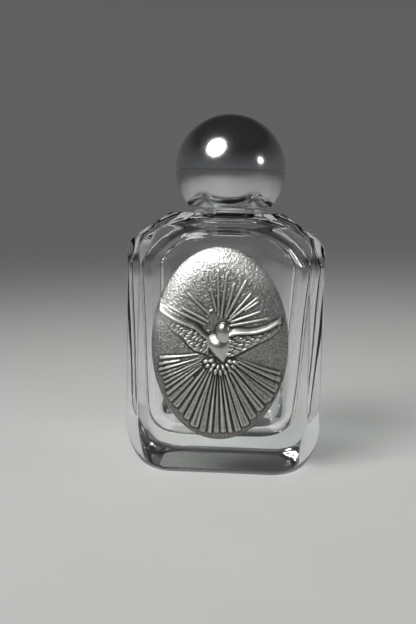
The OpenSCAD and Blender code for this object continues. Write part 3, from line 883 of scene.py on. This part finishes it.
def lower_fan(x, z):
    """Relief of the rays below the dove: thin ridges on the left, then broad flats with narrow grooves."""
    count = len(LOWER_RAYS)
    number = np.arange(count)
    middles = (LOWER_RAYS[1:] + LOWER_RAYS[:-1]) / 2
    edges = np.array([2 * LOWER_RAYS[0] - middles[0], *middles, 2 * LOWER_RAYS[-1] - middles[-1]])
    inset = LOWER_RAY_INSET + LEFT_RAY_INSET * (1 - eased(*LEFT_RAYS_FADE, LOWER_RAYS))
    inset = inset + 0.3 * uneven(number, 5.1, 1)
    ends = np.array([rim_reach(math.radians(a), LOWER_HUB[1], i) for a, i in zip(LOWER_RAYS, inset)])
    starts = LOWER_RAY_START + 0.5 * uneven(number, 2.9) + LATE_START * np.isin(number, LATE_RAYS)
    heights = LOWER_RAY_H + 0.09 * uneven(number, 3.7)
    far = np.hypot(x - LOWER_HUB[0], z - LOWER_HUB[1])
    angle = np.degrees(np.arctan2(z - LOWER_HUB[1], x - LOWER_HUB[0])) % 360
    ray = np.clip(np.searchsorted(edges, angle) - 1, 0, count - 1)
    width = far * np.radians(edges[ray + 1] - edges[ray])
    across = far * np.radians(angle - edges[ray])
    wedges = BROAD_GROOVE + 0.07 * uneven(number, 1.9, 0.5)
    broad = wedges[ray] * width * eased(*BROAD_GROOVE_RUN, far)
    groove = np.where(ray < THIN_RAYS, THIN_GROOVE * width, broad)
    wall = np.minimum(across, width - across) - groove
    off_middle = (2 * across / width - 1) ** 2
    top = eased(0, RAY_WALL, wall) * (1 - RAY_CROWN * off_middle)
    lines = np.cos(FULL_TURN * (2 + ray % 2) * across / width + ray)
    top = top - FINE_LINE * (1 + lines) * (ray >= THIN_RAYS) * eased(*FINE_LINE_FADE, width)
    pointed = RAY_POINT * width * off_middle
    foot_run, tip_run = LOWER_RAY_ENDS
    along = eased(0, foot_run, far - starts[ray]) * eased(0, tip_run, ends[ray] - far - pointed)
    return heights[ray] * top * along * (angle > edges[0]) * (angle < edges[-1])


def feathers(x, z, lean):
    """Relief of shingled feathers whose tips point along an angle in degrees, in staggered rows."""
    c, s = math.cos(math.radians(lean)), math.sin(math.radians(lean))
    rows = (z * c - x * s + FEATHER_WAVE * np.sin(2.1 * x + 1.3 * z)) / FEATHER_WIDE
    row = np.floor(rows)
    across = 2 * (rows - row) - 1
    along = (x * c + z * s) / FEATHER_LONG + 0.5 * row + 0.2 * uneven(row, 5)
    along = along - np.floor(along)
    tip = 1 - FEATHER_TIP * across ** 2
    lift = np.where(along < tip, FEATHER_LOW + (1 - FEATHER_LOW) * along / tip, FEATHER_GAP)
    return lift * np.sqrt(np.clip(1 - FEATHER_ROUND * across ** 2, 0, 1))


def wing_relief(x, z, ridge, trail, lead_sizes, lean):
    """Relief of one wing: a rounded leading edge under a shallow cove, with rows of feathers below it."""
    ridge, trail = np.array(ridge), np.array(trail)
    low_x, high_x = ridge[0, 0], ridge[-1, 0]
    tip_x = max(abs(low_x), abs(high_x))
    lead = smooth_curve(x, ridge[:, 0], ridge[:, 1], LEAD_SOFT)
    slope = smooth_curve(x, ridge[:, 0], np.gradient(ridge[:, 1], ridge[:, 0]), LEAD_SOFT)
    edge = np.interp(x, trail[:, 0], trail[:, 1])
    above = (z - lead) / np.sqrt(1 + slope ** 2)
    reach = np.clip((np.abs(x) - WING_ROOT_X) / (tip_x - WING_ROOT_X), 0, 1)
    on_wing = eased(low_x - WING_PAST, low_x + WING_FADE, x)
    on_wing = on_wing * (1 - eased(high_x - WING_FADE, high_x + WING_PAST, x))
    root, tip = np.array(lead_sizes)
    wide, high = (root[k] + (tip[k] - root[k]) * reach for k in (0, 1))
    slant = (np.hypot(above / wide, LEAD_ROUND) - LEAD_ROUND) / (math.hypot(1, LEAD_ROUND) - LEAD_ROUND)
    back = np.sqrt(np.clip(1 - (above / LEAD_BACK) ** 2, 0, 1))
    bead = high * np.clip(np.where(above > 0, 1 - slant, back), 0, 1)
    cove = COVE_H * np.clip(1 - above / COVE_WIDE, 0, 1) ** COVE_BEND
    plumes = (PLUME_BASE + PLUME_H * feathers(x, z, lean)) * (1 - PLUME_THINNING * reach)
    plumes = plumes * eased(0, PLUME_EDGE, z - edge)
    return on_wing * np.maximum(bead, np.where(above > 0, cove, plumes))


def dove_form(x, z):
    """Relief of the dove's breast, which swells and narrows down its length, and of the head over it."""
    form = np.array(DOVE_FORM)
    middle, half, height = (smooth_curve(z, form[:, 0], form[:, k], DOVE_SOFT) for k in (1, 2, 3))
    inside = (z > form[0, 0]) & (z < form[-1, 0])
    breast = np.where(inside, height * np.clip(1 - ((x - middle) / half) ** 2, 0, 1) ** DOVE_SIDES, 0)
    head = swell(x, z, HEAD_AT, *HEAD_SIZE)
    neck = np.clip(1 - np.abs(head - breast) / NECK_BLEND, 0, 1) ** 2
    neck = neck * eased(0, NECK_FADE, np.minimum(head, breast))
    return np.maximum(breast, head) + NECK_BLEND / 4 * neck


def dove_relief(x, z):
    """Relief of the dove: its body, its wings and the ruffled tail."""
    left = wing_relief(x, z, LEFT_RIDGE, LEFT_TRAIL, LEFT_LEAD, LEFT_LEAN)
    right = wing_relief(x, z, RIGHT_RIDGE, RIGHT_TRAIL, RIGHT_LEAD, RIGHT_LEAN)
    relief = np.maximum(left, right)
    for radius, count, height, size in TAIL_ROWS:
        half_w, half_h = (size * share for share in CURL_SHAPE)
        for i in range(count):
            lean = TAIL_START + TAIL_SPAN * i / (count - 1)
            out = radius * math.cos(math.radians(lean)) * TAIL_WIDEN
            up = radius * math.sin(math.radians(lean))
            middle = (TAIL_AT[0] + out, TAIL_AT[1] + up)
            relief = np.maximum(relief, swell(x, z, middle, half_w, half_h, height, lean - 270))
    return np.maximum(relief, dove_form(x, z))


def sandy_ground(x, z):
    """Fine cast grain of the ground, from a fixed lattice of heights."""
    lattice = np.random.default_rng(GRAIN_SEED).random(GRAIN_LATTICE)
    u = (x + MEDAL_A + GRAIN_MARGIN) / GRAIN_CELL
    v = (z + MEDAL_B + GRAIN_MARGIN) / GRAIN_CELL
    i, j = np.floor(u).astype(int), np.floor(v).astype(int)
    fu, fv = eased(0, 1, u - i), eased(0, 1, v - j)
    low = lattice[i, j] * (1 - fu) + lattice[i + 1, j] * fu
    high = lattice[i, j + 1] * (1 - fu) + lattice[i + 1, j + 1] * fu
    return low * (1 - fv) + high * fv - 0.5


def rim_inset(x, z):
    """Distance from the medal's outline in towards its middle."""
    far = np.hypot(x, z) + MIDDLE_GUARD
    return far / (np.hypot(x / MEDAL_A, z / MEDAL_B) + MIDDLE_GUARD / MEDAL_A) - far


def medal_relief(x, z):
    """Relief of the rays and the dove over the medal's domed face."""
    rays = np.maximum(upper_fan(x, z), lower_fan(x, z)) * eased(*RAYS_RIM_FADE, rim_inset(x, z))
    return np.maximum(rays, dove_relief(x, z))


def medal_face(x, z):
    """Height of the medal's face above its edge, its relief and the share of bare sandy ground."""
    inset = rim_inset(x, z)
    over = np.clip(1 - inset / PILLOW_WIDE, 0, 1)
    dome = MEDAL_CROWN * (1 - ((x / MEDAL_A) ** 2 + (z / MEDAL_B) ** 2) ** 2)
    pillow = dome - PILLOW_DEEP * (1 - np.sqrt(1 - over ** 2))
    relief = medal_relief(x, z)
    sand = 1 - eased(*SAND_FADE, relief)
    grains = GRAIN_H * sandy_ground(x, z) * sand * eased(0, SAND_RIM, inset)
    return pillow + relief + grains, relief, sand


def medal_rings():
    """Rings of the medal from the middle of its back, round its edge, to the middle of its face."""
    rings = [oval(0, 0, MEDAL_BACK, MEDAL_STEPS)]
    for draw, up in MEDAL_BACK_EDGE:
        rings.append(oval(MEDAL_A - draw, MEDAL_B - draw, MEDAL_BACK + up, MEDAL_STEPS))
    rim_turn = np.radians(np.linspace(0, MEDAL_RIM_TURN, MEDAL_RIM_ROWS))
    rim = MEDAL_RIM_SHARE * (1 - np.cos(rim_turn))
    for share in [*(1 - rim), *np.linspace(1 - rim[-1], 0, MEDAL_ROWS)[1:]]:
        ring = oval(MEDAL_A * share, MEDAL_B * share, 0, MEDAL_STEPS)
        height = medal_face(ring[:, 0] - MEDAL_X, ring[:, 2] - MEDAL_Z)[0]
        ring[:, 1] = -(MEDAL_BACK + MEDAL_EDGE + np.minimum(height, MEDAL_TOP))
        if share == 0:
            ring[:, 1] = ring[0, 1]
        rings.append(ring)
    return np.array(rings)


def store_wear_and_painted_light(piece):
    """Stores how rubbed, sandy and glossy each point of the medal is, with painted light: crests are rubbed
    bright, hollows dark with patina and painted shade, and the upper ground and upper left rim get a painted
    highlight.
    """
    co = np.empty(len(piece.data.vertices) * 3)
    piece.data.vertices.foreach_get("co", co)
    places = co.reshape(-1, 3).T / MM
    x, z = places[0] - MEDAL_X, places[2] - MEDAL_Z
    relief, sand = medal_face(x, z)[1:]
    turn = np.radians(np.arange(0, 360, 45))
    around = np.mean(
        [medal_relief(x + CREST_AND_HOLLOW_REACH * math.cos(t), z + CREST_AND_HOLLOW_REACH * math.sin(t)) for t in turn], axis=0)
    # Raised crests are rubbed bright; sunken hollows are darkened as painted shade over their patina
    crest = np.clip((relief - around) / CREST_AND_HOLLOW_DEPTH, -1, 1)
    # A painted highlight: the ground grows paler upwards and away from the dove's head
    painted_upper_highlight = eased(*UPPER_HIGHLIGHT_OUTWARD, np.hypot(x, z - UPPER_HIGHLIGHT_MIDDLE_Z)) * eased(*UPPER_HIGHLIGHT_UPWARD, z)
    wear_and_painted_light = WEAR_GROUND + UPPER_GROUND_HIGHLIGHT * painted_upper_highlight + CREST_WEAR_AND_HOLLOW_SHADE * crest
    on_dove = eased(*DOVE_RISE, dove_form(x, z))
    # A painted highlight: the band along the rim is brightened to the crest tones towards the upper left
    rim_highlight_band = 1 - eased(*RIM_HIGHLIGHT_INSET, rim_inset(x, z))
    painted_highlight_side = eased(*RIM_HIGHLIGHT_SIDE, 0.9 * z - 0.4 * x)
    wear_and_painted_light = np.maximum.reduce([wear_and_painted_light, WEAR_DOVE * on_dove, rim_highlight_band * painted_highlight_side])
    gloss = np.maximum(on_dove, SAND_GLOSS * sand)
    for name, values in (("wear_and_painted_light", wear_and_painted_light), ("sand", sand), ("gloss", gloss)):
        store = piece.data.attributes.new(name, "FLOAT", "POINT")
        store.data.foreach_set("value", np.clip(values, 0, 1).astype(np.float32))


medal = rolled_piece("dove_medal", medal_rings())
store_wear_and_painted_light(medal)
dress(medal, cast_pewter(), "bottle", "medal")

# Floor, light and camera: the key stands at the upper left, and a small lamp at the right adds glints

FLOOR_HALF = 3.0
FLOOR_ROUGH = 0.8
PAPER_DULL, PAPER_PALE = (0.6, 0.595, 0.585), (0.64, 0.635, 0.625)
BOTTLE_MIDDLE = (0, 0, 0.032)
KEY_AT = (-0.22, -0.3, 0.4)
KEY_SIZE = 0.31
KEY_POWER = 0.3
KEY_SPREAD = 50
GLINT_AT = (0.44, -0.17, 0.2)
GLINT_SIZE = 0.08
GLINT_POWER = 0.12
GLINT_SPREAD = 180
ROOM_TONE = (0.98, 0.99, 1.0, 1)
ROOM_LIGHT = 0.2
BACKDROP_LOW = 0.12
BACKDROP_HIGH = 0.03


def pale_floor():
    """Plain pale floor, wide enough for every view."""
    bm = bmesh.new()
    bmesh.ops.create_grid(bm, x_segments=8, y_segments=8, size=FLOOR_HALF)
    mesh = bpy.data.meshes.new("pale_floor")
    bm.to_mesh(mesh)
    bm.free()
    floor = bpy.data.objects.new("pale_floor", mesh)
    bpy.context.scene.collection.objects.link(floor)
    material, tree, shader = finish_tree("pale_paper")
    colour = tint(tree, grain(tree, 40, 4), PAPER_DULL, PAPER_PALE)
    tree.links.new(colour, shader.inputs["Base Color"])
    shader.inputs["Roughness"].default_value = FLOOR_ROUGH
    floor.data.materials.append(material)


def softbox(name, place, size, power, spread):
    """Round lamp at place, in metres, turned to the bottle, with a beam of spread degrees."""
    data = bpy.data.lights.new(name, "AREA")
    data.shape = "DISK"
    data.size = size
    data.spread = math.radians(spread)
    data.energy = power
    lamp = bpy.data.objects.new(name, data)
    bpy.context.scene.collection.objects.link(lamp)
    lamp.location = place
    lamp.rotation_euler = (Vector(BOTTLE_MIDDLE) - Vector(place)).to_track_quat("-Z", "Y").to_euler()


def studio_room():
    """Even light from all round, with a backdrop in the far floor's tone under a darker ceiling."""
    world = bpy.data.worlds.new("studio")
    bpy.context.scene.world = world
    world.use_nodes = True
    tree = world.node_tree
    light = tree.nodes["Background"]
    light.inputs["Color"].default_value = ROOM_TONE
    light.inputs["Strength"].default_value = ROOM_LIGHT
    backdrop = tree.nodes.new("ShaderNodeBackground")
    backdrop.inputs["Color"].default_value = ROOM_TONE
    where = tree.nodes.new("ShaderNodeTexCoord")
    height = tree.nodes.new("ShaderNodeSeparateXYZ")
    tree.links.new(where.outputs["Generated"], height.inputs["Vector"])
    fall = between(tree, height.outputs["Z"], BACKDROP_LOW, BACKDROP_HIGH, start=0.15, end=0.6)
    tree.links.new(fall, backdrop.inputs["Strength"])
    rays = tree.nodes.new("ShaderNodeLightPath")
    seen = rays.outputs["Is Camera Ray"]
    for name in ("Is Glossy Ray", "Is Transmission Ray"):
        either = tree.nodes.new("ShaderNodeMath")
        either.operation = "MAXIMUM"
        tree.links.new(seen, either.inputs[0])
        tree.links.new(rays.outputs[name], either.inputs[1])
        seen = either.outputs["Value"]
    mix = tree.nodes.new("ShaderNodeMixShader")
    tree.links.new(seen, mix.inputs["Fac"])
    tree.links.new(light.outputs["Background"], mix.inputs[1])
    tree.links.new(backdrop.outputs["Background"], mix.inputs[2])
    tree.links.new(mix.outputs["Shader"], tree.nodes["World Output"].inputs["Surface"])


pale_floor()
softbox("key_left", KEY_AT, KEY_SIZE, KEY_POWER, KEY_SPREAD)
softbox("side_right", GLINT_AT, GLINT_SIZE, GLINT_POWER, GLINT_SPREAD)
studio_room()

# The camera stands a little to the right of the front and above the ball's seam
CAMERA_AWAY = 176.84
CAMERA_ROUND = 3.198
CAMERA_UP = 51.83
CAMERA_AIM = 4.367
CAMERA_PITCH = 7.811
CAMERA_ROLL = 1.114
CAMERA_NEAR = 0.005
SENSOR_H = 36.0
LENS_PX = 962.72
IMAGE_H_PX = 624


def photo_camera():
    """Camera at the photograph's place, turn and angle of view."""
    data = bpy.data.cameras.new("camera")
    data.sensor_fit = "VERTICAL"
    data.sensor_height = SENSOR_H
    data.lens = SENSOR_H * LENS_PX / IMAGE_H_PX
    data.clip_start = CAMERA_NEAR
    camera = bpy.data.objects.new("camera", data)
    bpy.context.scene.collection.objects.link(camera)
    angles = (CAMERA_ROUND, CAMERA_AIM, CAMERA_PITCH, CAMERA_ROLL)
    turn, aim, pitch, roll = (math.radians(a) for a in angles)
    place = Vector((CAMERA_AWAY * math.sin(turn), -CAMERA_AWAY * math.cos(turn), CAMERA_UP)) * MM
    forward = Vector((-math.sin(aim) * math.cos(pitch), math.cos(aim) * math.cos(pitch), -math.sin(pitch)))
    level = Vector((math.cos(aim), math.sin(aim), 0))
    upright = level.cross(forward)
    right = level * math.cos(roll) + upright * math.sin(roll)
    up = upright * math.cos(roll) - level * math.sin(roll)
    turned_to = Matrix((right, up, -forward)).transposed().to_4x4()
    camera.matrix_world = Matrix.Translation(place) @ turned_to
    bpy.context.scene.camera = camera


photo_camera()
bpy.context.scene.view_settings.view_transform = "Standard"
